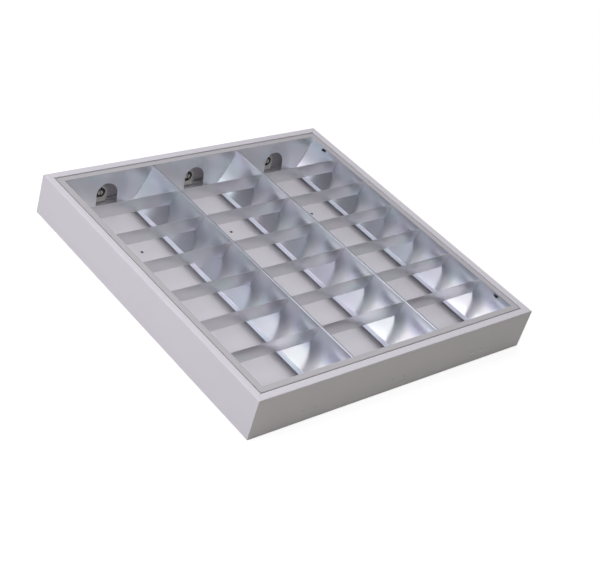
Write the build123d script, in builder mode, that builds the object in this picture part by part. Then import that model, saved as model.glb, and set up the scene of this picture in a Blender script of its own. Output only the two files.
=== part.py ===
from build123d import *
import math
import os

# Recessed troffer light for three tubular lamps, lying on its back with the open face up.
# X runs across the lamps, Y along them, Z from the back to the face.
# The origin is the centre of the back. All sizes are in millimetres.

os.makedirs("parts", exist_ok=True)

# Housing
body_width = 620.0  # across the lamps
body_length = 620.0  # along the lamps
body_height = 78.0  # back to face
housing_sheet = 0.8
housing_bend = 0.4  # inner radius of the folds
rim_width = 13.5  # return that runs inward round the face
rim_lip = 8.0  # edge turned down at the inside of the rim
end_foot = 12.0  # foot and side tabs of an end wall
mitre_gap = 0.15  # open line at a mitred corner

# Fixing holes and cable entry in the back
fixing_hole = 5.6  # diameter
fixing_pitch_x = 197.0
fixing_pitch_y = 296.0
fixing_centre_x = 2.0
entry_hole = 16.0  # diameter in the back
entry_y = -85.0

# Lamps and lampholders
lamp_count = 3
lamp_pitch = 193.0
lamp_axis = 27.5  # height of the lamp axis over the back
holder_width = 29.0
holder_bottom = 8.0
holder_depth = 11.4  # wide part, behind it a narrow stem reaches the bracket
stem_width = 19.0
stem_depth = 2.0
pin_slot = 3.0  # slot for the lamp pins
pin_reach = 7.6  # lowest point of the pins under the lamp axis
pin_depth = 8.4
hub_radius = 5.0
rotor_radius = 9.7
rotor_depth = 5.4
rotor_notch = 4.0  # depth of the notch for the pins
turning_play = 0.3
bracket_sheet = 0.8
bracket_width = 36.0
bracket_low = 6.0
bracket_high = 36.0
rivet_reach = 13.0  # rivet to lamp centre
rivet_height = 21.0
rivet_shank = 3.2
rivet_head = 6.0
rivet_rise = 0.9
rivet_tail = 4.4
rivet_play = 0.05

# Louvre frame
frame_gap = 2.0  # between the lip of the rim and the frame
frame_drop = 0.8  # face of the frame below the face of the rim
frame_strip = 11.0
frame_depth = 10.0
frame_sheet = 0.8
frame_bend = 0.3
key_leg = 22.0
key_height = 4.0
key_sheet = 1.2
key_drop = 5.6  # top of a corner key below the face of the frame

# Louvre sheets
reflector_sheet = 0.5
fold_height = 15.0  # fold of every reflector over the back
foot_width = 8.6
crest_width = 3.6
centre_slope = 0.30  # run of a centre reflector's flank per depth
centre_bow = 23.0  # and what its curve adds to that at the fold
side_slope = 0.20
side_bow = 23.75
side_inset = 6.0  # top of a side reflector inside the frame's outer face
cell_count = 7
cell_inset = 2.2  # the cells divide the length this far inside the end plates' top
blade_sheet = 0.5
blade_depth = 28.0
slit_play = 0.1  # blade to slit, each side
plate_sheet = 0.5
plate_lean = 0.19  # run of an end plate per depth
plate_cover = 0.8  # top of an end plate behind the frame's inner edge
arch_width = 44.0
arch_top = 57.0
sheet_play = 0.05  # between sheets that only meet
flange_play = 0.5  # from a flange under the frame to the frame's turned down edge

# Pivot bolts and catches
pivot_inset = 3.1  # pivot axis inside the frame's outer face
pivot_drop = 3.2  # and below its top face
bolt_radius = 1.25
bolt_play = 0.08
bolt_length = 82.0
bolt_reach = 3.0  # bolt beyond the lip's inner face
bolt_travel = 4.5
guide_length = 8.0
inner_guide_reach = 68.5  # guides, slider and tab inside the lip
outer_guide_reach = 30.5
slider_length = 10.0
slider_reach = 48.5
tab_length = 4.4
tab_height = 3.0
tab_offset = 1.5  # tab from the middle of the slider
tab_drop = 8.1  # tab centre below the face of the frame
tab_rise = 3.0  # tab beyond the reflector
slot_play = 0.6
spring_wire = 0.4
spring_turns = 6
catch_length = 16.0
catch_sheet = 0.3
catch_play = 0.3

# Control gear, terminals and wiring under the centre reflectors
gear_length = 250.0
gear_width = 40.0
gear_height = 28.0
gear_sheet = 0.8
gear_foot = 12.0
board_sheet = 1.6
stand_height = 3.0
board_parts = ((-78, 22, 14), (-40, 18, 17), (2, 26, 12), (44, 20, 17), (82, 16, 15))
stud_radius = 2.0
stud_height = 7.0
nut_across = 7.0
nut_height = 3.0
earth_y = -50.0
pole_places = (-18.0, -9.0, 9.0, 18.0)
pole_reach = 6.0
screw_radius = 1.8
terminal_length = 46.0
terminal_width = 24.0
terminal_height = 16.0
socket_length = 15.0
socket_width = 30.0
socket_height = 12.0
loom_radius = 1.6
mains_radius = 1.25
wire_bend = 12.0
loom_offset = 9.0  # each loom branch from the middle of the gear
mains_offset = 13.5
wire_play = 0.3
clip_wall = 1.2
clip_length = 8.0
clip_inset = 16.0  # trunk clips, from midway between the gear and the end wall towards the gear
grommet_bore = 10.0
grommet_flange = 22.0
grommet_rise = 4.2  # above the inside of the back

# Places that follow from the sizes above
half_width = body_width / 2
half_length = body_length / 2
wall_inner_x = half_width - housing_sheet
wall_inner_y = half_length - housing_sheet
lip_x = half_width - rim_width
lip_y = half_length - rim_width
frame_x = lip_x - frame_gap
frame_y = lip_y - frame_gap
frame_inner_x = frame_x - frame_strip
frame_inner_y = frame_y - frame_strip
frame_top = body_height - frame_drop
frame_face_x = frame_x - frame_sheet
frame_face_y = frame_y - frame_sheet
louvre_top = frame_top - frame_sheet
louvre_depth = louvre_top - fold_height
centre_curve = centre_bow / louvre_depth**2
side_curve = side_bow / louvre_depth**2
centre_run = centre_slope * louvre_depth + centre_curve * louvre_depth**2
side_run = side_slope * louvre_depth + side_curve * louvre_depth**2
side_top_x = frame_x - side_inset
plate_y = frame_inner_y + plate_cover
plate_foot_y = plate_y - plate_lean * louvre_depth
plate_angle = math.atan(plate_lean)
lamp_places = [(i - (lamp_count - 1) / 2) * lamp_pitch for i in range(lamp_count)]
gap_places = [(i - (lamp_count - 2) / 2) * lamp_pitch for i in range(lamp_count - 1)]
cell_pitch = 2 * (plate_y - cell_inset) / cell_count
blade_places = [(i - (cell_count - 2) / 2) * cell_pitch for i in range(cell_count - 1)]
bracket_face = wall_inner_y - bracket_sheet
holder_face = bracket_face - stem_depth - holder_depth  # 590 mm from one face to the other
pivot_x = frame_x - pivot_inset
pivot_z = frame_top - pivot_drop
bolt_outer = lip_y + bolt_reach
bolt_inner = bolt_outer - bolt_length
inner_guide = lip_y - inner_guide_reach
outer_guide = lip_y - outer_guide_reach
slider_centre = lip_y - slider_reach
tab_centre = slider_centre - tab_offset
tab_z = frame_top - tab_drop
gear_x = gap_places[0]
terminal_x = gap_places[-1]
foot_top = 2 * housing_sheet  # upper side of an end wall's foot
lip_bottom = body_height - rim_lip
loom_z = foot_top + wire_play + loom_radius
loom_y = wall_inner_y - bracket_sheet - wire_play - loom_radius
mains_y = loom_y - loom_radius - mains_radius - 1.2
mains_heights = (foot_top + wire_play + mains_radius, foot_top + 2 * wire_play + 3 * mains_radius)
gear_end = gear_length / 2 + 1  # outer face of the gear's sockets
standing = (Align.CENTER, Align.CENTER, Align.MIN)


def save(piece, name):
    piece.part.label = name
    export_step(piece.part, f"parts/{name}.step")


def other_side(points, sheet):
    # The back of a sheet whose face runs through these points, mitred where it turns
    normals = [(b - a).normalized().rotate(Axis.Z, -90) for a, b in zip(points, points[1:])]
    back = [points[0] + normals[0] * sheet]
    for point, before, after in zip(points[1:-1], normals, normals[1:]):
        back.append(point + (before + after) * (sheet / (1 + before.dot(after))))
    back.append(points[-1] + normals[-1] * sheet)
    return back


# Housing tray: back, left and right wall, rim and lip folded from one sheet
with BuildPart() as housing_tray:
    with BuildSketch(Plane.XZ):
        with BuildLine():
            FilletPolyline(
                (lip_x, body_height - rim_lip),
                (lip_x, body_height),
                (half_width, body_height),
                (half_width, 0),
                (-half_width, 0),
                (-half_width, body_height),
                (-lip_x, body_height),
                (-lip_x, body_height - rim_lip),
                radius=housing_bend + housing_sheet,
            )
            offset(amount=housing_sheet, side=Side.RIGHT)
        make_face()
    extrude(amount=half_length, both=True)
    # the mitred corners of the rim go to the end walls
    cut_x = lip_x - 1
    cut_y = lip_y - 1
    with BuildSketch(Plane.XY.offset(lip_bottom - 1)):
        for side in (-1, 1):
            for end in (-1, 1):
                with BuildLine():
                    Polyline(
                        (side * cut_x, end * (cut_y - mitre_gap / 2)),
                        (side * wall_inner_x, end * (wall_inner_y - mitre_gap / 2)),
                        (side * wall_inner_x, end * (half_length + 1)),
                        (side * cut_x, end * (half_length + 1)),
                        close=True,
                    )
                make_face()
    extrude(amount=rim_lip + 2, mode=Mode.SUBTRACT)
    with BuildSketch():
        with Locations((fixing_centre_x, 0)):
            with GridLocations(fixing_pitch_x, fixing_pitch_y, 3, 2):
                Circle(fixing_hole / 2)
        with Locations((terminal_x, entry_y)):
            Circle(entry_hole / 2)
    extrude(amount=housing_sheet, mode=Mode.SUBTRACT)
save(housing_tray, "housing_tray")

# End walls: wall, rim, lip, foot on the back and tabs on the side walls
with BuildPart() as end_wall_rear:
    with BuildSketch(Plane.YZ):
        with BuildLine():
            FilletPolyline(
                (lip_y, body_height - rim_lip),
                (lip_y, body_height),
                (half_length, body_height),
                (half_length, housing_sheet),
                (half_length - end_foot, housing_sheet),
                radius=housing_bend + housing_sheet,
            )
            offset(amount=housing_sheet, side=Side.RIGHT)
        make_face()
    extrude(amount=wall_inner_x, both=True)
    with BuildSketch(Plane.XY.offset(lip_bottom - 1)):
        for side in (-1, 1):
            with BuildLine():
                Polyline(
                    (side * cut_x, cut_y + mitre_gap / 2),
                    (side * (half_width + 1), half_length + 1 + mitre_gap / 2),
                    (side * (half_width + 1), cut_y + mitre_gap / 2),
                    close=True,
                )
            make_face()
    extrude(amount=rim_lip + 2, mode=Mode.SUBTRACT)
    # the foot clears the bends of the tray
    for side in (-1, 1):
        with Locations((side * wall_inner_x, wall_inner_y, housing_sheet)):
            Box(2 * housing_bend, 2 * end_foot, housing_bend, align=standing, mode=Mode.SUBTRACT)
    tab_low = foot_top + housing_bend
    tab_high = body_height - housing_sheet - housing_bend
    for side in (-1, 1):
        tab_x = side * (wall_inner_x - housing_sheet / 2)
        with Locations((tab_x, wall_inner_y - end_foot / 2, tab_low)):
            Box(housing_sheet, end_foot, tab_high - tab_low, align=standing)
    # holes for the lampholder rivets
    with BuildSketch(Plane.XZ.offset(-bracket_face)):
        for lamp_x in lamp_places:
            for reach in (-rivet_reach, rivet_reach):
                with Locations((lamp_x + reach, rivet_height)):
                    Circle(rivet_shank / 2 + rivet_play)
    extrude(amount=-(half_length - bracket_face), mode=Mode.SUBTRACT)
    # hole for the pivot bolt in the lip
    with BuildSketch(Plane.XZ.offset(-(lip_y - 1))):
        with Locations((pivot_x, pivot_z)):
            Circle(bolt_radius + bolt_play)
    extrude(amount=-(housing_sheet + 2), mode=Mode.SUBTRACT)
save(end_wall_rear, "end_wall_rear")

with BuildPart() as end_wall_front:
    mirror(end_wall_rear.part, about=Plane.XZ)
save(end_wall_front, "end_wall_front")

# Lampholder brackets: plates against the end walls
with BuildPart() as brackets_front:
    with BuildSketch(Plane.XZ.offset(bracket_face)):
        for lamp_x in lamp_places:
            with Locations((lamp_x, (bracket_low + bracket_high) / 2)):
                RectangleRounded(bracket_width, bracket_high - bracket_low, 3)
            for reach in (-rivet_reach, rivet_reach):
                with Locations((lamp_x + reach, rivet_height)):
                    Circle(rivet_shank / 2 + rivet_play, mode=Mode.SUBTRACT)
    extrude(amount=bracket_sheet)
save(brackets_front, "lampholder_brackets_front")

with BuildPart() as brackets_rear:
    mirror(brackets_front.part, about=Plane.XZ)
save(brackets_rear, "lampholder_brackets_rear")

# Blind rivets through end wall and bracket, domed heads outside
with BuildPart() as rivets_front:
    for lamp_x in lamp_places:
        for reach in (-rivet_reach, rivet_reach):
            with BuildSketch(Plane.XZ.offset(half_length)):
                with Locations((lamp_x + reach, rivet_height)):
                    Circle(rivet_head / 2)
            extrude(amount=rivet_rise)
            with BuildSketch(Plane.XZ.offset(half_length)):
                with Locations((lamp_x + reach, rivet_height)):
                    Circle(rivet_shank / 2)
            extrude(amount=bracket_face - half_length)
            with BuildSketch(Plane.XZ.offset(bracket_face)):
                with Locations((lamp_x + reach, rivet_height)):
                    Circle(rivet_tail / 2)
            extrude(amount=-1.5)
    fillet(rivets_front.faces().group_by(Axis.Y)[0].edges(), rivet_rise * 0.6)
save(rivets_front, "lampholder_rivets_front")

with BuildPart() as rivets_rear:
    mirror(rivets_front.part, about=Plane.XZ)
save(rivets_rear, "lampholder_rivets_rear")


def build_lampholder(lamp_x):
    # Front lampholder: rounded body with a ring recess for the rotor, a hub and the pin slot
    face = Plane.XZ.offset(holder_face)
    with BuildPart() as holder:
        with BuildSketch(face):
            with Locations((lamp_x, lamp_axis)):
                Circle(holder_width / 2)
            with Locations((lamp_x, (lamp_axis + holder_bottom) / 2)):
                Rectangle(holder_width, lamp_axis - holder_bottom)
        extrude(amount=holder_depth)
        front = holder.faces().sort_by(Axis.Y)[-1]
        chamfer(front.edges(), 0.6)
        with BuildSketch(Plane.XZ.offset(holder_face + holder_depth)):
            with Locations((lamp_x, (lamp_axis + holder_bottom) / 2)):
                Rectangle(stem_width, lamp_axis - holder_bottom)
        extrude(amount=bracket_face - holder_face - holder_depth)
        with BuildSketch(face):
            with Locations((lamp_x, lamp_axis)):
                Circle(rotor_radius + turning_play)
                Circle(hub_radius, mode=Mode.SUBTRACT)
        extrude(amount=rotor_depth + 2 * turning_play, mode=Mode.SUBTRACT)
        slot_top = lamp_axis + holder_width / 2 + 1
        slot_bottom = lamp_axis - pin_reach
        with BuildSketch(face):
            with Locations((lamp_x, (slot_top + slot_bottom) / 2)):
                Rectangle(pin_slot, slot_top - slot_bottom)
        extrude(amount=pin_depth, mode=Mode.SUBTRACT)
    return holder


def build_rotor(lamp_x):
    # Front rotor: ring with two notches that line up with the pin slot at rest
    face = Plane.XZ.offset(holder_face + turning_play)
    with BuildPart() as rotor:
        with BuildSketch(face):
            with Locations((lamp_x, lamp_axis)):
                Circle(rotor_radius)
                Circle(hub_radius + turning_play, mode=Mode.SUBTRACT)
        extrude(amount=rotor_depth)
        with BuildSketch(face):
            with Locations((lamp_x, lamp_axis)):
                Rectangle(pin_slot, 2 * rotor_radius + 2)
        extrude(amount=rotor_notch, mode=Mode.SUBTRACT)
    return rotor


for place, lamp_x in zip(("left", "middle", "right"), lamp_places):
    holder_front = build_lampholder(lamp_x)
    save(holder_front, f"lampholder_front_{place}")
    with BuildPart() as holder_rear:
        mirror(holder_front.part, about=Plane.XZ)
    save(holder_rear, f"lampholder_rear_{place}")
    rotor_front = build_rotor(lamp_x)
    save(rotor_front, f"lamp_rotor_front_{place}")
    with BuildPart() as rotor_rear:
        mirror(rotor_front.part, about=Plane.XZ)
    save(rotor_rear, f"lamp_rotor_rear_{place}")


def frame_half(inner, outer, bend):
    # Section of a frame rail: flat strip and outer edge turned down
    FilletPolyline(
        (inner, frame_top),
        (outer, frame_top),
        (outer, frame_top - frame_depth),
        radius=bend + frame_sheet,
    )
    offset(amount=frame_sheet, side=Side.RIGHT)


# Frame rails, mitred at the corners
with BuildPart() as rail_right:
    with BuildSketch(Plane.XZ):
        with BuildLine():
            frame_half(frame_inner_x, frame_x, frame_bend)
        make_face()
    extrude(amount=frame_y, both=True)
    inner = frame_strip + 1
    with BuildSketch(Plane.XY.offset(frame_top - frame_depth - 1)):
        with BuildLine():
            Polyline(
                (frame_x + 1, frame_y + 1 - mitre_gap / 2),
                (frame_x - inner, frame_y - inner - mitre_gap / 2),
                (frame_x - inner, inner - frame_y + mitre_gap / 2),
                (frame_x + 1, mitre_gap / 2 - frame_y - 1),
                close=True,
            )
        make_face()
    extrude(amount=frame_depth + 2, mode=Mode.INTERSECT)
save(rail_right, "frame_rail_right")

with BuildPart() as rail_left:
    mirror(rail_right.part, about=Plane.YZ)
save(rail_left, "frame_rail_left")

with BuildPart() as rail_rear:
    with BuildSketch(Plane.YZ):
        with BuildLine():
            frame_half(frame_inner_y, frame_y, frame_bend)
        make_face()
    extrude(amount=frame_x, both=True)
    with BuildSketch(Plane.XY.offset(frame_top - frame_depth - 1)):
        with BuildLine():
            Polyline(
                (frame_x + 1 - mitre_gap / 2, frame_y + 1),
                (frame_x - inner - mitre_gap / 2, frame_y - inner),
                (inner - frame_x + mitre_gap / 2, frame_y - inner),
                (mitre_gap / 2 - frame_x - 1, frame_y + 1),
                close=True,
            )
        make_face()
    extrude(amount=frame_depth + 2, mode=Mode.INTERSECT)
    with BuildSketch(Plane.XZ.offset(-(frame_face_y - 1))):
        with Locations((pivot_x, pivot_z)):
            Circle(bolt_radius + bolt_play)
    extrude(amount=-(frame_sheet + 2), mode=Mode.SUBTRACT)
save(rail_rear, "frame_rail_rear")

with BuildPart() as rail_front:
    mirror(rail_rear.part, about=Plane.XZ)
save(rail_front, "frame_rail_front")

# Corner keys: angles inside the frame's turned down edges
with BuildPart() as corner_keys:
    key_top = frame_top - key_drop
    for side in (-1, 1):
        for end in (-1, 1):
            with BuildSketch(Plane.XY.offset(key_top - key_height)):
                with BuildLine():
                    Polyline(
                        (side * frame_face_x, end * frame_face_y),
                        (side * frame_face_x, end * (frame_face_y - key_leg)),
                        (side * (frame_face_x - key_sheet), end * (frame_face_y - key_leg)),
                        (side * (frame_face_x - key_sheet), end * (frame_face_y - key_sheet)),
                        (side * (frame_face_x - key_leg), end * (frame_face_y - key_sheet)),
                        (side * (frame_face_x - key_leg), end * frame_face_y),
                        close=True,
                    )
                make_face()
            extrude(amount=key_height)
save(corner_keys, "corner_keys")


def between_plates():
    # Block between the leaning end plates, to cut the reflectors to length
    with BuildSketch(Plane.YZ) as block:
        with BuildLine():
            Polyline(
                (plate_y + plate_lean - sheet_play, louvre_top + 1),
                (plate_foot_y - plate_lean - sheet_play, fold_height - 1),
                (plate_lean + sheet_play - plate_foot_y, fold_height - 1),
                (sheet_play - plate_lean - plate_y, louvre_top + 1),
                close=True,
            )
        make_face()
    return block.sketch


def blade_slits(x_low, x_high):
    # Slits from the top edge down to the bottom edge of the blades
    with BuildSketch(Plane.XY.offset(louvre_top - blade_depth)) as slits:
        for blade_y in blade_places:
            with Locations(((x_low + x_high) / 2, blade_y)):
                Rectangle(x_high - x_low, blade_sheet + 2 * slit_play)
    extrude(slits.sketch, amount=blade_depth + 1, mode=Mode.SUBTRACT)


def sheet_section(points):
    # Face and back of a folded sheet: a flat, then a curved flank and a flat in turn
    back = other_side(points, reflector_sheet)
    for edge in (points, back):
        Line(edge[0], edge[1])
        for i in range(1, len(edge) - 1, 3):
            Bezier(edge[i], edge[i + 1], edge[i + 2])
            Line(edge[i + 2], edge[i + 3])
    Line(points[0], back[0])
    Line(points[-1], back[-1])


# Centre reflectors: folded V with a flat crest, parabolic flanks and feet
for place, gap_x in zip(("left", "right"), gap_places):
    flank = (
        Vector(centre_run + foot_width, -louvre_depth),
        Vector(centre_run, -louvre_depth),
        Vector(centre_slope * louvre_depth / 2, -louvre_depth / 2),
        Vector(0, 0),
    )
    left_crest = Vector(gap_x - crest_width / 2, louvre_top)
    right_crest = Vector(gap_x + crest_width / 2, louvre_top)
    section = [left_crest + Vector(-p.X, p.Y) for p in flank]
    section += [right_crest + p for p in reversed(flank)]
    with BuildPart() as centre_reflector:
        with BuildSketch(Plane.XZ):
            with BuildLine():
                sheet_section(section)
            make_face()
        extrude(amount=plate_y, both=True)
        extrude(between_plates(), amount=body_width, both=True, mode=Mode.INTERSECT)
        slit_reach = centre_slope * blade_depth + centre_curve * blade_depth**2 + crest_width
        blade_slits(gap_x - slit_reach, gap_x + slit_reach)
    save(centre_reflector, f"centre_reflector_{place}")

# Side reflectors: one flank, a foot and a flange under the frame strip
tab_depth = louvre_top - tab_z
tab_face_x = side_top_x - side_slope * tab_depth - side_curve * tab_depth**2
slot_length = tab_length + bolt_travel + 2 * slot_play
slot_centre = tab_centre - bolt_travel / 2
with BuildPart() as side_right:
    with BuildSketch(Plane.XZ):
        with BuildLine():
            sheet_section(
                [
                    Vector(side_top_x - side_run - foot_width, fold_height),
                    Vector(side_top_x - side_run, fold_height),
                    Vector(side_top_x - side_slope * louvre_depth / 2, louvre_top - louvre_depth / 2),
                    Vector(side_top_x, louvre_top),
                    Vector(frame_face_x - flange_play, louvre_top),
                ]
            )
        make_face()
    extrude(amount=plate_y, both=True)
    extrude(between_plates(), amount=body_width, both=True, mode=Mode.INTERSECT)
    slit_reach = side_slope * blade_depth + side_curve * blade_depth**2 + 1
    blade_slits(side_top_x - slit_reach, side_top_x - 0.3)
    for end in (-1, 1):
        with Locations((side_top_x, end * slot_centre, tab_z)):
            Box(tab_depth, slot_length, tab_height + 2 * slot_play, mode=Mode.SUBTRACT)
save(side_right, "side_reflector_right")

with BuildPart() as side_left:
    mirror(side_right.part, about=Plane.YZ)
save(side_left, "side_reflector_left")

# Cross blades: plain sheets that drop into the slits
blade_half = side_top_x - 0.5
for number, blade_y in enumerate(blade_places, start=1):
    with BuildPart() as cross_blade:
        with Locations((0, blade_y, louvre_top)):
            Box(2 * blade_half, blade_sheet, blade_depth, align=(Align.CENTER, Align.CENTER, Align.MAX))
    save(cross_blade, f"cross_blade_{number}")

# End plates: leaning sheets with an arch in front of each lampholder
plate_plane = Plane(
    origin=(0, plate_y, louvre_top),
    x_dir=(1, 0, 0),
    z_dir=(0, math.cos(plate_angle), -math.sin(plate_angle)),
)
plate_height = louvre_depth / math.cos(plate_angle)
with BuildPart() as end_plate_rear:
    with BuildSketch(plate_plane):
        with Locations((0, plate_height / 2)):
            Rectangle(2 * blade_half, plate_height)
        arch_radius = arch_width / 2
        arch_centre = (louvre_top - arch_top) / math.cos(plate_angle) + arch_radius
        for lamp_x in lamp_places:
            with Locations((lamp_x, arch_centre)):
                Circle(arch_radius, mode=Mode.SUBTRACT)
            with Locations((lamp_x, (arch_centre + plate_height + 1) / 2)):
                Rectangle(arch_width, plate_height + 1 - arch_centre, mode=Mode.SUBTRACT)
    extrude(amount=plate_sheet)
    flange = frame_face_y - flange_play - plate_y
    with Locations((0, plate_y, louvre_top)):
        Box(2 * frame_inner_x, flange, plate_sheet, align=(Align.CENTER, Align.MIN, Align.MAX))
save(end_plate_rear, "end_plate_rear")

with BuildPart() as end_plate_front:
    mirror(end_plate_rear.part, about=Plane.XZ)
save(end_plate_front, "end_plate_front")

# Guide blocks for the pivot bolts, on the inside of the right frame rail
guide_low = pivot_z - bolt_radius - 1.6
guide_high = louvre_top - reflector_sheet - 0.1
guide_width = frame_face_x - side_top_x - 0.4
with BuildPart() as bolt_guides:
    for end in (-1, 1):
        for guide_y in (inner_guide, outer_guide):
            with Locations((frame_face_x, end * guide_y, guide_low)):
                Box(
                    guide_width,
                    guide_length,
                    guide_high - guide_low,
                    align=(Align.MAX, Align.CENTER, Align.MIN),
                )
    with BuildSketch(Plane.XZ):
        with Locations((pivot_x, pivot_z)):
            Circle(bolt_radius + bolt_play)
    extrude(amount=frame_y, both=True, mode=Mode.SUBTRACT)
save(bolt_guides, "bolt_guides")

# Pivot bolts: pins along the pivot axis into the lips of the end walls
with BuildPart() as bolt_front:
    with BuildSketch(Plane.XZ.offset(bolt_inner)):
        with Locations((pivot_x, pivot_z)):
            Circle(bolt_radius)
    extrude(amount=bolt_outer - bolt_inner)
    chamfer(bolt_front.faces().sort_by(Axis.Y)[0].edges(), 0.4)
save(bolt_front, "pivot_bolt_front")

with BuildPart() as bolt_rear:
    mirror(bolt_front.part, about=Plane.XZ)
save(bolt_rear, "pivot_bolt_rear")

# Sliders: fixed on the bolts, with a thumb tab through the reflector's slot
slider_low = tab_z - tab_height / 2 - 1.4
slider_high = guide_high - 0.2
slider_width = guide_width - 0.6
with BuildPart() as slider_front:
    with Locations((frame_face_x - 0.3, -slider_centre, slider_low)):
        Box(
            slider_width,
            slider_length,
            slider_high - slider_low,
            align=(Align.MAX, Align.CENTER, Align.MIN),
        )
    with Locations((frame_face_x - 1, -tab_centre, tab_z)):
        Box(
            frame_face_x - 1 - tab_face_x + tab_rise,
            tab_length,
            tab_height,
            align=(Align.MAX, Align.CENTER, Align.CENTER),
        )
    with BuildSketch(Plane.XZ.offset(slider_centre)):
        with Locations((pivot_x, pivot_z)):
            Circle(bolt_radius)
    extrude(amount=slider_length, both=True, mode=Mode.SUBTRACT)
save(slider_front, "bolt_slider_front")

with BuildPart() as slider_rear:
    mirror(slider_front.part, about=Plane.XZ)
save(slider_rear, "bolt_slider_rear")

# Bolt springs: coils round the bolts between the inner guides and the sliders
spring_start = inner_guide + guide_length / 2 + spring_wire / 2
spring_end = slider_centre - slider_length / 2 - spring_wire / 2
spring_radius = bolt_radius + 0.2 + spring_wire / 2
with BuildPart() as spring_rear:
    with BuildLine():
        coil = Helix(
            pitch=(spring_end - spring_start) / spring_turns,
            height=spring_end - spring_start,
            radius=spring_radius,
            center=(pivot_x, spring_start, pivot_z),
            direction=(0, 1, 0),
        )
    with BuildSketch(Plane(origin=coil @ 0, z_dir=coil % 0)):
        Circle(spring_wire / 2)
    sweep(is_frenet=True)
save(spring_rear, "bolt_spring_rear")

with BuildPart() as spring_front:
    mirror(spring_rear.part, about=Plane.XZ)
save(spring_front, "bolt_spring_front")

# Catch springs: clipped over the left lip, their bows press on the louvre frame
clip_back = lip_x + housing_sheet + sheet_play
clip_front = lip_x - sheet_play
bow_x = frame_x + catch_play + catch_sheet
with BuildPart() as catch_rear:
    bow = [
        Vector(-clip_back, pivot_z + 1),
        Vector(-clip_back, lip_bottom - sheet_play),
        Vector(-clip_front, lip_bottom - sheet_play),
        Vector(-clip_front, lip_bottom + 1),
        Vector(-bow_x, pivot_z),
        Vector(-clip_front, frame_top - 1.2),
    ]
    with BuildSketch(Plane.XZ.offset(-(tab_centre + catch_length / 2))):
        with BuildLine():
            Polyline(*bow, *reversed(other_side(bow, catch_sheet)), close=True)
        make_face()
    extrude(amount=catch_length)
save(catch_rear, "catch_spring_rear")

with BuildPart() as catch_front:
    mirror(catch_rear.part, about=Plane.XZ)
save(catch_front, "catch_spring_front")

# Control gear: base with feet, board with parts on it, cover and end sockets
with BuildPart() as ballast_base:
    with Locations((gear_x, 0, housing_sheet)):
        base_width = gear_width - 2 * gear_sheet - 0.2
        Box(base_width, gear_length - 2 * gear_sheet - 0.2, gear_sheet, align=standing)
        Box(gear_width / 2, gear_length + 2 * gear_foot, gear_sheet, align=standing)
    base_top = housing_sheet + gear_sheet
    for side in (-1, 1):
        with Locations((gear_x + side * (gear_width / 2 - 1.5 * gear_sheet - 0.1), 0, base_top)):
            Box(gear_sheet, gear_length - 2, 8, align=standing)
    with Locations((gear_x, 0, base_top)):
        for stand_y in (-gear_length * 0.36, 0, gear_length * 0.36):
            with Locations((0, stand_y, 0)):
                Cylinder(2.5, stand_height, align=standing)
    with BuildSketch(Plane.XY.offset(housing_sheet)):
        with Locations((gear_x, 0)):
            with GridLocations(0, gear_length + gear_foot, 1, 2):
                Circle(stud_radius + 0.2)
    extrude(amount=gear_sheet, mode=Mode.SUBTRACT)
save(ballast_base, "ballast_base")

with BuildPart() as ballast_board:
    board_z = base_top + stand_height
    with Locations((gear_x, 0, board_z)):
        Box(gear_width - 6, gear_length - 2 * socket_length - 4, board_sheet, align=standing)
    # chokes and capacitors
    for part_y, part_width, part_height in board_parts:
        with Locations((gear_x, part_y, board_z + board_sheet)):
            Box(part_width, part_width, part_height, align=standing)
save(ballast_board, "ballast_board")

with BuildPart() as ballast_cover:
    with Locations((gear_x, 0, housing_sheet)):
        Box(gear_width, gear_length, gear_height, align=standing)
        Box(
            gear_width - 2 * gear_sheet,
            gear_length - 2 * gear_sheet,
            gear_height - gear_sheet,
            align=standing,
            mode=Mode.SUBTRACT,
        )
        # openings in the ends for the sockets
        Box(
            socket_width + 0.4,
            gear_length + 2,
            gear_sheet + socket_height + 0.2,
            align=standing,
            mode=Mode.SUBTRACT,
        )
save(ballast_cover, "ballast_cover")

with BuildPart() as ballast_terminals:
    for end in (-1, 1):
        with Locations((gear_x, end * (gear_end - socket_length / 2), base_top)):
            Box(socket_width, socket_length, socket_height, align=standing)
            for pole in (-12, -4, 4, 12):
                with Locations((pole, end * socket_length / 2, socket_height / 2 + 2)):
                    Box(3, 4, 3, mode=Mode.SUBTRACT)
save(ballast_terminals, "ballast_terminals")

# Mains terminals: block with screws, held by a nut in the middle
pole_floor = housing_sheet + terminal_height - 4.5
with BuildPart() as terminal_block:
    with Locations((terminal_x, 0, housing_sheet)):
        Box(terminal_width, terminal_length, terminal_height, align=standing)
    with BuildSketch(Plane.XY.offset(pole_floor)):
        for pole_y in pole_places:
            with Locations((terminal_x - pole_reach, pole_y), (terminal_x + pole_reach, pole_y)):
                Circle(screw_radius + 0.2)
    extrude(amount=5, mode=Mode.SUBTRACT)
    with BuildSketch(Plane.XY.offset(housing_sheet)):
        with Locations((terminal_x, 0)):
            Circle(stud_radius + 0.2)
    extrude(amount=terminal_height, mode=Mode.SUBTRACT)
    with BuildSketch(Plane.XY.offset(housing_sheet + 4)):
        with Locations((terminal_x, 0)):
            Circle(nut_across * 0.75)
    extrude(amount=terminal_height, mode=Mode.SUBTRACT)
save(terminal_block, "terminal_block")

with BuildPart() as terminal_screws:
    with BuildSketch(Plane.XY.offset(pole_floor)):
        for pole_y in pole_places:
            with Locations((terminal_x - pole_reach, pole_y), (terminal_x + pole_reach, pole_y)):
                Circle(screw_radius)
    extrude(amount=3.5)
    with BuildSketch(Plane.XY.offset(pole_floor + 2.7)):
        for pole_y in pole_places:
            with Locations((terminal_x, pole_y)):
                Rectangle(2 * (pole_reach + screw_radius) + 1, 0.6)
    extrude(amount=1, mode=Mode.SUBTRACT)
save(terminal_screws, "terminal_screws")

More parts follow.
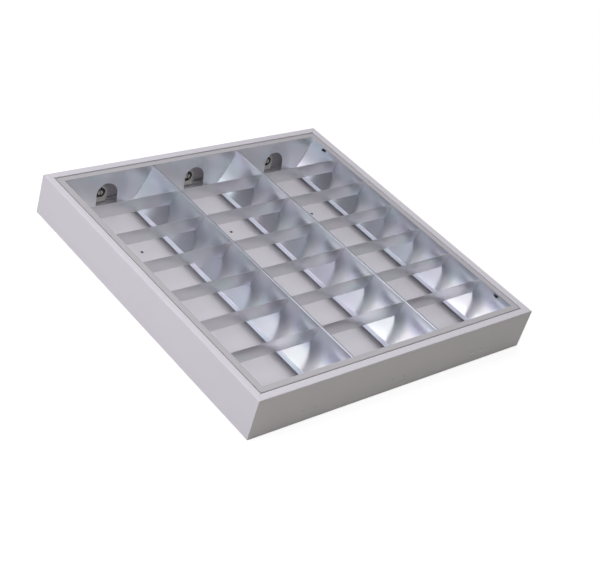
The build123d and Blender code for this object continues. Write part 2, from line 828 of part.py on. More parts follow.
# Studs welded to the back for the gear, the terminals and the protective earth
gear_stud_y = gear_length / 2 + gear_foot / 2
stud_places = ((gear_x, -gear_stud_y), (gear_x, gear_stud_y), (terminal_x, earth_y), (terminal_x, 0))
with BuildPart() as weld_studs:
    with BuildSketch(Plane.XY.offset(housing_sheet)):
        with Locations(*stud_places):
            Circle(stud_radius)
    extrude(amount=stud_height)
save(weld_studs, "weld_studs")

with BuildPart() as stud_nuts:
    for (stud_x, stud_y), nut_z in zip(stud_places, (foot_top, foot_top, foot_top, housing_sheet + 4)):
        with BuildSketch(Plane.XY.offset(nut_z)):
            with Locations((stud_x, stud_y)):
                RegularPolygon(nut_across / 2, 6, major_radius=False)
                Circle(stud_radius, mode=Mode.SUBTRACT)
        extrude(amount=nut_height)
save(stud_nuts, "stud_nuts")

# Cable entry: bush in the hole of the back
with BuildPart() as cable_grommet:
    with Locations((terminal_x, entry_y, 0)):
        Cylinder(entry_hole / 2 - 0.1, housing_sheet + grommet_rise, align=standing)
    with Locations((terminal_x, entry_y, housing_sheet)):
        Cylinder(grommet_flange / 2, 2, align=standing)
    with Locations((terminal_x, entry_y, 0)):
        Cylinder(grommet_bore / 2, housing_sheet + grommet_rise, align=standing, mode=Mode.SUBTRACT)
save(cable_grommet, "cable_grommet")

# Looms: from the gear's sockets to the lampholders of one end
with BuildPart() as loom_rear:
    for offset_x, last_x in ((-loom_offset, lamp_places[0]), (loom_offset, lamp_places[-1])):
        start = (gear_x + offset_x, gear_end)
        with BuildLine(Plane.XY.offset(loom_z)) as route:
            FilletPolyline(start, (gear_x + offset_x, loom_y), (last_x, loom_y), radius=wire_bend)
        with BuildSketch(Plane(origin=(*start, loom_z), z_dir=(0, 1, 0))):
            Circle(loom_radius)
        sweep(path=route.wires()[0])
    # short leads up into the lampholders
    with BuildSketch(Plane.XY.offset(loom_z)):
        for lamp_x in lamp_places:
            inward = 1.5 if lamp_x < gear_x else -1.5
            with Locations((lamp_x + inward, loom_y)):
                Circle(loom_radius * 0.8)
    extrude(amount=holder_bottom - loom_z)
save(loom_rear, "loom_rear")

with BuildPart() as loom_front:
    mirror(loom_rear.part, about=Plane.XZ)
save(loom_front, "loom_front")

# Mains leads: two, one over the other, from the terminals to the gear
with BuildPart() as mains_leads:
    for lead_z in mains_heights:
        start = (terminal_x, terminal_length / 2)
        with BuildLine(Plane.XY.offset(lead_z)) as route:
            FilletPolyline(
                start,
                (terminal_x, mains_y),
                (gear_x + mains_offset, mains_y),
                (gear_x + mains_offset, gear_end),
                radius=wire_bend,
            )
        with BuildSketch(Plane(origin=(*start, lead_z), z_dir=(0, 1, 0))):
            Circle(mains_radius)
        sweep(path=route.wires()[0])
save(mains_leads, "mains_leads")

# Earth lead: from the terminals to a ring lug under the earth nut
lug_radius = nut_across * 0.66
lead_end = earth_y + lug_radius + 2
with BuildPart() as earth_lead:
    with BuildSketch(Plane.XZ.offset(terminal_length / 2)):
        with Locations((terminal_x, mains_heights[0] - housing_sheet)):
            Circle(mains_radius)
    extrude(amount=-lead_end - terminal_length / 2)
    with BuildSketch(Plane.XY.offset(housing_sheet)):
        with Locations((terminal_x, earth_y)):
            Circle(lug_radius)
        with Locations((terminal_x, (earth_y + lead_end + 3) / 2)):
            Rectangle(2 * mains_radius + 1, lead_end + 3 - earth_y)
        with Locations((terminal_x, earth_y)):
            Circle(stud_radius + 0.2, mode=Mode.SUBTRACT)
    extrude(amount=housing_sheet)
save(earth_lead, "earth_lead")

# Loom clips: blocks over the wires on the back and along the end walls
loom_hole = loom_radius + sheet_play
clip_top = loom_z + loom_hole + clip_wall
clip_half = loom_hole + clip_wall / 2
trunk_clip = (gear_end + loom_y) / 2 - clip_inset
wall_clip = lamp_pitch * 0.75
clip_width = 2 * (loom_offset + loom_hole + clip_wall)
with BuildPart() as loom_clips:
    for end in (-1, 1):
        with Locations((gear_x, end * trunk_clip, housing_sheet)):
            Box(clip_width, clip_length, clip_top - housing_sheet, align=standing)
        for clip_x in (-wall_clip, wall_clip):
            with Locations((clip_x, end * loom_y, foot_top)):
                Box(clip_length, 2 * clip_half, clip_top - foot_top, align=standing)
    with BuildSketch(Plane.XZ):
        with Locations((gear_x - loom_offset, loom_z), (gear_x + loom_offset, loom_z)):
            Circle(loom_hole)
    extrude(amount=loom_y - 2 * clip_length, both=True, mode=Mode.SUBTRACT)
    with BuildSketch(Plane.YZ):
        with Locations((-loom_y, loom_z), (loom_y, loom_z)):
            Circle(loom_hole)
    extrude(amount=wall_clip + clip_length, both=True, mode=Mode.SUBTRACT)
save(loom_clips, "loom_clips")
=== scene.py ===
import bpy
import bmesh
import math
from mathutils import Matrix, Vector


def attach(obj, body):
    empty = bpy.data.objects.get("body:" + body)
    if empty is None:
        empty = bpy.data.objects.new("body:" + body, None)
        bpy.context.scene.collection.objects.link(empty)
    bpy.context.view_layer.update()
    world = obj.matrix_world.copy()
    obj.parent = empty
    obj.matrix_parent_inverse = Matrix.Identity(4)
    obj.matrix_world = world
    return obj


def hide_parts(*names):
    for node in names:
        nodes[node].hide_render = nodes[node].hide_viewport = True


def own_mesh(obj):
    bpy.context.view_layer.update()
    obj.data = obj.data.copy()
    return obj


# Recessed troffer light, lying on its back.
# The pieces' sizes are in millimetres, everything else is in metres.
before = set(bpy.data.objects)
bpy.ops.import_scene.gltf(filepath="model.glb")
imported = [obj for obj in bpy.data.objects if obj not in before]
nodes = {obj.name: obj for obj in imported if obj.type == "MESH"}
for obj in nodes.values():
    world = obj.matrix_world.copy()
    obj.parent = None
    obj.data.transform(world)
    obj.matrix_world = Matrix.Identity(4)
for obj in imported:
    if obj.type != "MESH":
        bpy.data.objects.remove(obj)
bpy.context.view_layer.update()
print("frame loaded,", len(nodes), "nodes")


def addNode(tree, kind, values=(), **settings):
    # each value is a constant or another node's output
    node = tree.nodes.new(kind)
    for key, value in settings.items():
        setattr(node, key, value)
    for key, value in dict(values).items():
        if hasattr(value, "is_output"):
            tree.links.new(value, node.inputs[key])
        else:
            node.inputs[key].default_value = value
    return node


def mathNode(tree, operation, a, b=0.0):
    return addNode(tree, "ShaderNodeMath", {0: a, 1: b}, operation=operation).outputs[0]


def newMaterial(name, colour, roughness, metallic=0.0):
    mat = bpy.data.materials.new(name)
    mat.use_nodes = True
    shader = mat.node_tree.nodes["Principled BSDF"]
    shader.inputs["Base Color"].default_value = (*colour, 1)
    shader.inputs["Roughness"].default_value = roughness
    shader.inputs["Metallic"].default_value = metallic
    return mat, mat.node_tree, shader


def objectPlace(tree):
    return addNode(tree, "ShaderNodeTexCoord").outputs["Object"]


def objectNoise(tree, scale, detail=3.0, stretch=(1, 1, 1)):
    # noise on object coordinates, stretched for rolled or drawn metal
    mapping = addNode(tree, "ShaderNodeMapping", {"Vector": objectPlace(tree), "Scale": stretch})
    return addNode(tree, "ShaderNodeTexNoise",
                   {"Vector": mapping.outputs["Vector"], "Scale": scale,
                    "Detail": detail}).outputs["Fac"]


def spread(tree, value, low, high, fromLow=0.3, fromHigh=0.7):
    return addNode(tree, "ShaderNodeMapRange",
                   {"Value": value, "From Min": fromLow, "From Max": fromHigh,
                    "To Min": low, "To Max": high}).outputs["Result"]


def tint(tree, value, dark, light):
    return addNode(tree, "ShaderNodeMix", {"Factor": value, "A": (*dark, 1), "B": (*light, 1)},
                   data_type="RGBA").outputs["Result"]


def shade(colour, factor):
    return tuple(min(1.0, c * factor) for c in colour)


def setLooks(tree, shader, colour, roughness, height, strength, distance):
    bump = addNode(tree, "ShaderNodeBump",
                   {"Height": height, "Strength": strength, "Distance": distance})
    tree.links.new(colour, shader.inputs["Base Color"])
    tree.links.new(roughness, shader.inputs["Roughness"])
    tree.links.new(bump.outputs["Normal"], shader.inputs["Normal"])


def powderCoat(name, colour, grain=1100):
    # baked powder: orange peel, and a little cloudiness over the sheet
    mat, tree, shader = newMaterial(name, colour, roughness=0.45)
    cloud = tint(tree, objectNoise(tree, scale=7, detail=4), shade(colour, 0.965), colour)
    gloss = spread(tree, objectNoise(tree, scale=60, detail=4), low=0.40, high=0.50)
    peel = objectNoise(tree, scale=grain, detail=2)
    setLooks(tree, shader, cloud, gloss, peel, strength=0.35, distance=0.00004)
    return mat


def anodised(name, colour, roughness, along, wave=0.2, matteFoot=None):
    # satin anodised sheet: rolling lines along one axis, faint waves and tinges in the sheet
    mat, tree, shader = newMaterial(name, colour, roughness, metallic=1.0)
    stretch = [0.012 if axis == along else 1.0 for axis in range(3)]
    lines = objectNoise(tree, scale=2600, detail=3, stretch=stretch)
    gloss = spread(tree, lines, roughness - 0.008, roughness + 0.008)
    if matteFoot:
        # the foot strip at the bottom is etched, so it mirrors nothing
        place = addNode(tree, "ShaderNodeSeparateXYZ", {"Vector": objectPlace(tree)})
        foot = spread(tree, place.outputs["Z"], matteFoot["extra"], 0,
                      fromLow=matteFoot["low"], fromHigh=matteFoot["high"])
        gloss = mathNode(tree, "ADD", gloss, foot)
    green = tuple(c * k for c, k in zip(colour, (0.955, 1.0, 0.975)))
    pink = tuple(c * k for c, k in zip(colour, (1.0, 0.955, 0.97)))
    tinge = tint(tree, spread(tree, objectNoise(tree, scale=22, detail=1), 0, 1), green, pink)
    waves = objectNoise(tree, scale=14, detail=1)
    setLooks(tree, shader, tinge, gloss, waves, strength=wave, distance=0.0003)
    return mat


def platedSteel(name, colour, roughness):
    mat, tree, shader = newMaterial(name, colour, roughness, metallic=1.0)
    spangle = addNode(tree, "ShaderNodeTexVoronoi", {"Vector": objectPlace(tree), "Scale": 260})
    gloss = spread(tree, spangle.outputs["Distance"], roughness - 0.06, roughness + 0.08,
                   fromLow=0, fromHigh=1)
    cloud = tint(tree, objectNoise(tree, scale=40), shade(colour, 0.88), colour)
    grain = objectNoise(tree, scale=1500, detail=2)
    setLooks(tree, shader, cloud, gloss, grain, strength=0.15, distance=0.00002)
    return mat


def mouldedPlastic(name, colour, roughness, strength=0.2):
    mat, tree, shader = newMaterial(name, colour, roughness)
    cloud = tint(tree, objectNoise(tree, scale=30, detail=2), shade(colour, 0.93), colour)
    gloss = spread(tree, objectNoise(tree, scale=350), roughness - 0.05, roughness + 0.07)
    grain = objectNoise(tree, scale=2200, detail=2)
    setLooks(tree, shader, cloud, gloss, grain, strength, distance=0.00003)
    return mat


finishes = {
    "powderCoat": powderCoat("powderCoat", (0.79, 0.77, 0.80)),
    # the frame rails carry the body's paint; this darker copy of it is painted shade
    "frameShadedCoat": powderCoat("frameShadedCoat", (0.57, 0.555, 0.56), 1300),
    "gearCoat": powderCoat("gearCoat", (0.78, 0.79, 0.80), 1500),
    "reflector": anodised("satinReflector", (0.79, 0.82, 0.90), 0.21, 1,
                          matteFoot={"low": 0.0152, "high": 0.0162, "extra": 0.45}),
    "blade": anodised("satinBlade", (0.79, 0.785, 0.79), 0.34, 0),
    "endPlate": anodised("satinEndPlate", (0.94, 0.95, 0.97), 0.34, 0, 0.1),
    "zinc": platedSteel("zincPlated", (0.66, 0.67, 0.68), 0.38),
    "springSteel": platedSteel("springSteel", (0.50, 0.50, 0.51), 0.28),
    "rivet": platedSteel("rivetAluminium", (0.34, 0.34, 0.32), 0.45),
    "brass": platedSteel("screwBrass", (0.72, 0.55, 0.26), 0.30),
    # the holders' white plastic is given an olive grey: painted shade in warm light
    "holder": mouldedPlastic("holderShadedWhite", (0.72, 0.71, 0.64), 0.30, 0.1),
    "rotor": mouldedPlastic("rotorBlack", (0.018, 0.018, 0.02), 0.34),
    "slider": mouldedPlastic("sliderBlack", (0.022, 0.022, 0.024), 0.42),
    "clip": mouldedPlastic("clipPlastic", (0.68, 0.67, 0.64), 0.38),
    "sheath": mouldedPlastic("wireSheath", (0.74, 0.74, 0.73), 0.33, 0.1),
    "earth": mouldedPlastic("earthSheath", (0.16, 0.42, 0.07), 0.35, 0.1),
    "board": mouldedPlastic("circuitBoard", (0.03, 0.13, 0.06), 0.40),
    "grommet": mouldedPlastic("grommetRubber", (0.03, 0.03, 0.03), 0.65, 0.4),
}
print("materials made,", len(finishes))


def dress(finish, *names):
    for name in names:
        for holder in nodes[name].material_slots:
            holder.material = finishes[finish]


def starting(*heads):
    return [name for name in nodes if name.startswith(heads)]


dress("powderCoat", "housing_tray", "end_wall_front", "end_wall_rear")
dress("frameShadedCoat", *starting("frame_rail_"))
dress("endPlate", "end_plate_front", "end_plate_rear")
dress("zinc", *starting("lampholder_brackets_"), "ballast_base", "weld_studs", "stud_nuts",
      "corner_keys", "pivot_bolt_front", "pivot_bolt_rear")
dress("springSteel", "catch_spring_front", "catch_spring_rear")
dress("gearCoat", "ballast_cover")
dress("holder", *starting("lampholder_front_", "lampholder_rear_"), "ballast_terminals",
      "terminal_block")
dress("rotor", *starting("lamp_rotor_"))
dress("slider", "bolt_slider_front", "bolt_slider_rear", "bolt_guides")
dress("clip", "loom_clips")
dress("sheath", "loom_front", "loom_rear", "mains_leads")
dress("earth", "earth_lead")
dress("board", "ballast_board")
dress("brass", "terminal_screws")
dress("grommet", "cable_grommet")


def newObject(name, data=None):
    obj = bpy.data.objects.new(name, data or bpy.data.meshes.new(name))
    bpy.context.scene.collection.objects.link(obj)
    return obj


def plainMesh(obj, smoothAngle):
    # the evaluated object as a plain mesh, its modifiers gone
    depsgraph = bpy.context.evaluated_depsgraph_get()
    mesh = bpy.data.meshes.new_from_object(obj.evaluated_get(depsgraph))
    obj.modifiers.clear()
    obj.data = mesh
    mesh.polygons.foreach_set("use_smooth", [True] * len(mesh.polygons))
    mesh.set_sharp_from_angle(angle=math.radians(smoothAngle))


def roundCorner(before, corner, after, radius, steps=4):
    # points of a small bend in place of a sharp corner
    toBefore = (before - corner).normalized()
    toAfter = (after - corner).normalized()
    half = math.acos(max(-1, min(1, toBefore.dot(toAfter)))) / 2
    reach = radius / math.tan(half)
    centre = corner + (toBefore + toAfter).normalized() * (radius / math.sin(half))
    start = corner + toBefore * reach - centre
    end = corner + toAfter * reach - centre
    turn = math.pi - 2 * half
    points = []
    for i in range(steps + 1):
        share = i / steps
        mixed = start * math.sin((1 - share) * turn) + end * math.sin(share * turn)
        points.append(centre + mixed / math.sin(turn))
    return points


def bendProfile(points, corners):
    # the same points with small bends at the numbered corners
    out = []
    for i, point in enumerate(points):
        if i in corners:
            out += roundCorner(points[i - 1], point, points[i + 1], corners[i])
        else:
            out.append(point)
    return out


reflectorSheet = {
    "top": 76.4,
    "fold": 15.0,  # height of the foot strip
    "foot": 8.6,
    "sheet": 0.5,
    "bend": 0.9,  # radius of the folds
    "flankSteps": 36,
    "stepGap": 0.8,  # a step closer than this to a cut is left out
    "blades": 6,
    "bladeDepth": 28.0,
    "bladePitch": 80.6,
    "slit": 1.1,
    "endTop": 284.25,  # where the leaning end plates cut it
    "endLean": 0.19,
    "smoothAngle": 28,
}
centreReflector = {"crest": 3.6, "crestBend": 0.7, "slope": 0.30, "curve": 0.0061,
                   "places": {"left": -96.5, "right": 96.5}}
sideReflector = {"top": 288.5, "topBend": 0.6, "slope": 0.20, "curve": 0.0063, "flange": 4.7,
                 "slotLow": 67.0, "slotHigh": 71.2, "slotStart": 239.2, "slotEnd": 249.3}


def flankPoints(x, side, shape, cuts):
    # a flank from its top edge down to the fold, with a point at each cut
    top, steps = reflectorSheet["top"], reflectorSheet["flankSteps"]
    depth = top - reflectorSheet["fold"]
    depths = {depth * i / steps for i in range(steps + 1)}
    clear = {t for t in depths if all(abs(t - cut) > reflectorSheet["stepGap"] for cut in cuts)}
    return [Vector((x + side * (shape["slope"] * t + shape["curve"] * t * t), top - t))
            for t in sorted(clear | set(cuts))]


def centreProfile(gapX):
    # one sheet over the gap between two troughs: foot, flank, crest, flank, foot
    shape, bend = centreReflector, reflectorSheet["bend"]
    foot = Vector((reflectorSheet["foot"], 0))
    right = flankPoints(gapX + shape["crest"] / 2, 1, shape, (reflectorSheet["bladeDepth"],))
    left = [Vector((2 * gapX - p.x, p.y)) for p in right]
    count = len(right)
    return bendProfile([right[-1] + foot, *reversed(right), *left, left[-1] - foot],
                       {1: bend, count: shape["crestBend"], count + 1: shape["crestBend"],
                        2 * count: bend})


def sideProfile(place):
    # half as much, from a flange under the frame rail down to the foot
    shape, top = sideReflector, reflectorSheet["top"]
    cuts = (reflectorSheet["bladeDepth"], top - shape["slotHigh"], top - shape["slotLow"])
    flank = flankPoints(shape["top"], -1, shape, cuts)
    line = [Vector((shape["top"] + shape["flange"], top)), *flank,
            flank[-1] - Vector((reflectorSheet["foot"], 0))]
    profile = bendProfile(line, {1: shape["topBend"], len(flank): reflectorSheet["bend"]})
    if place == "right":
        return profile
    return [Vector((-p.x, p.y)) for p in reversed(profile)]


def buildSheet(name, profile, slots=None):
    sizes = reflectorSheet
    halfSlit = sizes["slit"] / 2
    slitLow = sizes["top"] - sizes["bladeDepth"]
    blades = [(i - (sizes["blades"] - 1) / 2) * sizes["bladePitch"] for i in range(sizes["blades"])]
    slotSpans = []
    if slots:
        slotSpans = [(slots["slotStart"], slots["slotEnd"]),
                     (-slots["slotEnd"], -slots["slotStart"])]
    inner = sorted([y + sign * halfSlit for y in blades for sign in (-1, 1)]
                   + [y for span in slotSpans for y in span])

    def cutAway(y, z):
        if z > slitLow and min(abs(y - blade) for blade in blades) < halfSlit:
            return True
        inSpan = any(low < y < high for low, high in slotSpans)
        return inSpan and slots["slotLow"] < z < slots["slotHigh"]

    bm = bmesh.new()
    grid = []
    for p in profile:
        end = sizes["endTop"] - sizes["endLean"] * (sizes["top"] - p.y)
        grid.append([bm.verts.new((p.x / 1000, y / 1000, p.y / 1000)) for y in [-end, *inner, end]])
    for i in range(len(profile) - 1):
        z = (profile[i].y + profile[i + 1].y) / 2
        for j in range(len(inner) + 1):
            if 0 < j < len(inner) and cutAway((inner[j - 1] + inner[j]) / 2, z):
                continue
            bm.faces.new((grid[i][j], grid[i + 1][j], grid[i + 1][j + 1], grid[i][j + 1]))
    bmesh.ops.delete(bm, geom=[v for v in bm.verts if not v.link_faces], context="VERTS")
    obj = newObject(name)
    bm.to_mesh(obj.data)
    bm.free()
    thick = obj.modifiers.new("sheet", "SOLIDIFY")
    thick.thickness = sizes["sheet"] / 1000
    thick.offset = 1  # under the shown side
    thick.use_even_offset = True
    plainMesh(obj, sizes["smoothAngle"])
    obj.data.materials.append(finishes["reflector"])
    return obj


for place, gapX in centreReflector["places"].items():
    sheet = buildSheet(f"centreReflector_{place}", centreProfile(gapX))
    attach(sheet, "louvre")
    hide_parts(f"centre_reflector_{place}")

for place in ("left", "right"):
    sheet = buildSheet(f"sideReflector_{place}", sideProfile(place), sideReflector)
    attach(sheet, "louvre")
    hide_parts(f"side_reflector_{place}")
print("reflectors made")


def nodeTree(name, sizes):
    # an input for each size, and one for the finish
    tree = bpy.data.node_groups.new(name, "GeometryNodeTree")
    tree.interface.new_socket(name="Geometry", in_out="OUTPUT", socket_type="NodeSocketGeometry")
    for label, value in sizes.items():
        kind = "NodeSocketInt" if isinstance(value, int) else "NodeSocketFloat"
        tree.interface.new_socket(name=label, in_out="INPUT", socket_type=kind)
    tree.interface.new_socket(name="Finish", in_out="INPUT", socket_type="NodeSocketMaterial")
    return tree, tree.nodes.new("NodeGroupInput").outputs


def endTree(tree, shape, finish):
    out = tree.nodes.new("NodeGroupOutput")
    real = addNode(tree, "GeometryNodeRealizeInstances", {"Geometry": shape.outputs[0]})
    painted = addNode(tree, "GeometryNodeSetMaterial",
                      {"Geometry": real.outputs[0], "Material": finish})
    tree.links.new(painted.outputs[0], out.inputs[0])
    return tree


def joinXyz(tree, x=0.0, y=0.0, z=0.0):
    return addNode(tree, "ShaderNodeCombineXYZ", {"X": x, "Y": y, "Z": z}).outputs[0]


def joinShapes(tree, *shapes):
    joined = addNode(tree, "GeometryNodeJoinGeometry")
    for shape in shapes:
        tree.links.new(shape.outputs[0], joined.inputs[0])
    return joined


def placeShape(tree, shape, **moves):
    return addNode(tree, "GeometryNodeTransform", {"Geometry": shape.outputs[0], **moves})


def inMetres(sizes):
    # counts and turns stay as they are
    return {label: value if isinstance(value, int) or label == "Turns" else value / 1000
            for label, value in sizes.items()}


def growPiece(name, tree, sizes, finish, smoothAngle=30):
    # run the tree on an empty mesh and keep the result
    obj = newObject(name)
    grow = obj.modifiers.new("grow", "NODES")
    grow.node_group = tree
    values = {**inMetres(sizes), "Finish": finishes[finish]}
    for item in tree.interface.items_tree:
        if item.in_out == "INPUT":
            grow[item.identifier] = values[item.name]
    plainMesh(obj, smoothAngle)
    # the empty start mesh leaves an empty slot in front of the finish
    obj.data.materials.clear()
    obj.data.materials.append(finishes[finish])
    obj.data.polygons.foreach_set("material_index", [0] * len(obj.data.polygons))
    return obj


bladeRow = {
    "Count": reflectorSheet["blades"],
    "Pitch": reflectorSheet["bladePitch"],
    "Length": 576.0,
    "Height": reflectorSheet["bladeDepth"],
    "Sheet": 0.5,
    "Edge": 0.16,
    "Top": reflectorSheet["top"],
}


def bladeTree():
    tree, sizes = nodeTree("bladeRow", bladeRow)
    outline = addNode(tree, "GeometryNodeCurvePrimitiveQuadrilateral",
                      {"Width": sizes["Height"], "Height": sizes["Sheet"]})
    rounded = addNode(tree, "GeometryNodeFilletCurve",
                      {"Curve": outline.outputs[0], "Radius": sizes["Edge"], "Count": 3,
                       "Limit Radius": True}, mode="POLY")
    face = addNode(tree, "GeometryNodeFillCurve", {"Curve": rounded.outputs[0]}, mode="NGONS")
    pulled = addNode(tree, "GeometryNodeExtrudeMesh",
                     {"Mesh": face.outputs[0], "Offset": joinXyz(tree, z=sizes["Length"]),
                      "Individual": False})
    back = addNode(tree, "GeometryNodeFlipFaces", {"Mesh": face.outputs[0]})
    closed = addNode(tree, "GeometryNodeMergeByDistance",
                     {"Geometry": joinShapes(tree, pulled, back).outputs[0], "Distance": 1e-6})
    start = joinXyz(tree, x=mathNode(tree, "MULTIPLY", sizes["Length"], -0.5))
    blade = placeShape(tree, closed, Translation=start, Rotation=(0, math.pi / 2, 0))
    gaps = mathNode(tree, "SUBTRACT", sizes["Count"], 1.0)
    width = mathNode(tree, "MULTIPLY", gaps, sizes["Pitch"])
    firstY = mathNode(tree, "MULTIPLY", width, -0.5)
    halfHeight = mathNode(tree, "MULTIPLY", sizes["Height"], 0.5)
    middleZ = mathNode(tree, "SUBTRACT", sizes["Top"], halfHeight)
    row = addNode(tree, "GeometryNodeMeshLine",
                  {"Count": sizes["Count"], "Start Location": joinXyz(tree, y=firstY, z=middleZ),
                   "Offset": joinXyz(tree, y=sizes["Pitch"])}, mode="OFFSET")
    placed = addNode(tree, "GeometryNodeInstanceOnPoints",
                     {"Points": row.outputs[0], "Instance": blade.outputs[0]})
    return endTree(tree, placed, sizes["Finish"])


blades = growPiece("crossBlades", bladeTree(), bladeRow, "blade")
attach(blades, "louvre")
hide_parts(*starting("cross_blade_"))
print("blades made,", len(blades.data.polygons), "faces")


rivetRow = {
    "Lamps": 3,
    "LampPitch": 193.0,
    "Reach": 13.0,  # each way from the lamp's middle
    "Height": 21.0,
    "Wall": 310.0,
    "Grip": 1.6,  # wall and bracket together
    "HeadRadius": 3.0,
    "HeadRise": 0.88,
    "MandrelRadius": 0.9,
    "TailRadius": 2.2,
    "TailLength": 1.4,
}
mandrelShare = 1.96  # of the head's rise, so that its flat end shows in the dome


def rivetTree():
    tree, sizes = nodeTree("rivetRow", rivetRow)
    dome = addNode(tree, "GeometryNodeMeshUVSphere", {"Segments": 28, "Rings": 14, "Radius": 1.0})
    headSize = joinXyz(tree, sizes["HeadRadius"], sizes["HeadRise"], sizes["HeadRadius"])
    head = placeShape(tree, dome, Scale=headSize)
    pin = addNode(tree, "GeometryNodeMeshCylinder",
                  {"Vertices": 16, "Radius": sizes["MandrelRadius"],
                   "Depth": mathNode(tree, "MULTIPLY", sizes["HeadRise"], mandrelShare)})
    mandrel = placeShape(tree, pin, Rotation=(math.pi / 2, 0, 0))
    stub = addNode(tree, "GeometryNodeMeshCylinder",
                   {"Vertices": 20, "Radius": sizes["TailRadius"], "Depth": sizes["TailLength"]})
    halfTail = mathNode(tree, "MULTIPLY", sizes["TailLength"], 0.5)
    tailPlace = joinXyz(tree, y=mathNode(tree, "ADD", halfTail, sizes["Grip"]))
    tail = placeShape(tree, stub, Translation=tailPlace, Rotation=(math.pi / 2, 0, 0))
    rivet = joinShapes(tree, head, mandrel, tail)
    # two rivets to a lamp, a lamp in each trough, both end walls
    gaps = mathNode(tree, "SUBTRACT", sizes["Lamps"], 1.0)
    width = mathNode(tree, "MULTIPLY", gaps, sizes["LampPitch"])
    startX = mathNode(tree, "MULTIPLY", width, -0.5)
    wallY = mathNode(tree, "MULTIPLY", sizes["Wall"], -1.0)
    rows = []
    for sign in (-1.0, 1.0):
        x = mathNode(tree, "ADD", startX, mathNode(tree, "MULTIPLY", sizes["Reach"], sign))
        rows.append(addNode(tree, "GeometryNodeMeshLine",
                            {"Count": sizes["Lamps"],
                             "Start Location": joinXyz(tree, x, wallY, sizes["Height"]),
                             "Offset": joinXyz(tree, x=sizes["LampPitch"])}, mode="OFFSET"))
    front = addNode(tree, "GeometryNodeInstanceOnPoints",
                    {"Points": joinShapes(tree, *rows).outputs[0], "Instance": rivet.outputs[0]})
    rear = placeShape(tree, front, Rotation=(0, 0, math.pi))
    return endTree(tree, joinShapes(tree, front, rear), sizes["Finish"])


rivets = growPiece("blindRivets", rivetTree(), rivetRow, "rivet", smoothAngle=50)
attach(rivets, "housing")
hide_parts("lampholder_rivets_front", "lampholder_rivets_rear")
print("rivets made")


boltSpring = {"Turns": 6.0, "Radius": 1.65, "Wire": 0.2, "Length": 10.6}
springPlace = {"x": 291.4, "z": 74.0, "start": 232.2, "seat": 232.0}


def springTree():
    tree, sizes = nodeTree("coilSpring", boltSpring)
    coil = addNode(tree, "GeometryNodeCurveSpiral",
                   {"Resolution": 28, "Rotations": sizes["Turns"], "Start Radius": sizes["Radius"],
                    "End Radius": sizes["Radius"], "Height": sizes["Length"]})
    wire = addNode(tree, "GeometryNodeCurvePrimitiveCircle",
                   {"Resolution": 10, "Radius": sizes["Wire"]})
    tube = addNode(tree, "GeometryNodeCurveToMesh",
                   {"Curve": coil.outputs[0], "Profile Curve": wire.outputs[0], "Fill Caps": True})
    return endTree(tree, tube, sizes["Finish"])


springs = springTree()
spot = inMetres(springPlace)
for end, sign in (("front", -1), ("rear", 1)):
    coil = growPiece(f"boltSpring_{end}", springs, boltSpring, "springSteel", smoothAngle=60)
    for vertex in coil.data.vertices:
        x, y, z = vertex.co
        vertex.co = (spot["x"] + x, sign * (spot["start"] + z), spot["z"] + y)
    # the rear one is mirrored, so its faces turn round
    bm = bmesh.new()
    bm.from_mesh(coil.data)
    bmesh.ops.recalc_face_normals(bm, faces=bm.faces)
    bm.to_mesh(coil.data)
    bm.free()
    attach(coil, "louvre")
    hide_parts(f"bolt_spring_{end}")
    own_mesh(coil)
print("springs made")


studio = {
    "floorAlbedo": (0.60, 0.565, 0.49),  # what the object's light sees
    "shownAlbedo": (0.42, 0.42, 0.42),  # what the camera and reflections see, the glow on top
    "floorDrop": 0.0002,
    "shadeFootprint": 0.309,  # half the width of the painted shade patch under the tray
    "glow": (0.80, 0.95),  # near and far
    "glowReach": (0.9, 3.2),
    "skyAxis": (0.55, 0.83),  # x and y
    "sky": [  # from behind the camera to the far side
        (0.14, (0.02, 0.02, 0.02)),
        (0.58, (0.10, 0.10, 0.107)),
        (0.80, (0.86, 0.83, 0.90)),
        (0.90, (0.22, 0.22, 0.24)),
    ],
    "backdropRadius": 14.0,
    "backdropHeight": 2.2,
    "backdropSides": 96,
}


def seenRay(tree):
    # 1 for what the camera, a reflection or a glass shows
    path = addNode(tree, "ShaderNodeLightPath")
    camera, glossy, glass = (path.outputs[f"Is {ray} Ray"]
                             for ray in ("Camera", "Glossy", "Transmission"))
    return mathNode(tree, "MAXIMUM", mathNode(tree, "MAXIMUM", camera, glossy), glass)


def stageMaterial(name):
    mat = bpy.data.materials.new(name)
    mat.use_nodes = True
    mat.node_tree.nodes.clear()
    return mat, mat.node_tree


def endShader(tree, shader):
    addNode(tree, "ShaderNodeOutputMaterial", {"Surface": shader.outputs[0]})


def floorMaterial():
    mat, tree = stageMaterial("studioFloor")
    seen = seenRay(tree)
    albedo = tint(tree, seen, studio["floorAlbedo"], studio["shownAlbedo"])
    # painted shade: the floor is dark and without glow under the tray, where its fixing holes look
    # at the floor
    place = objectPlace(tree)
    split = addNode(tree, "ShaderNodeSeparateXYZ", {"Vector": place})
    awayX, awayY = (mathNode(tree, "ABSOLUTE", split.outputs[axis]) for axis in "XY")
    outside = mathNode(tree, "GREATER_THAN", mathNode(tree, "MAXIMUM", awayX, awayY),
                       studio["shadeFootprint"])
    grain = spread(tree, objectNoise(tree, scale=25, detail=2), low=0.985, high=1.0)
    colour = addNode(tree, "ShaderNodeVectorMath",
                     {0: albedo, 1: mathNode(tree, "MULTIPLY", outside, grain)},
                     operation="MULTIPLY")
    paper = addNode(tree, "ShaderNodeBsdfDiffuse", {"Color": colour.outputs[0]})
    # the glow makes up for the lamps' fall-off further out
    radius = addNode(tree, "ShaderNodeVectorMath", {0: place}, operation="LENGTH")
    level = spread(tree, radius.outputs["Value"], *studio["glow"], *studio["glowReach"])
    strength = mathNode(tree, "MULTIPLY", mathNode(tree, "MULTIPLY", seen, outside), level)
    glow = addNode(tree, "ShaderNodeEmission", {"Strength": strength})
    endShader(tree, addNode(tree, "ShaderNodeAddShader",
                            {0: paper.outputs[0], 1: glow.outputs[0]}))
    return mat


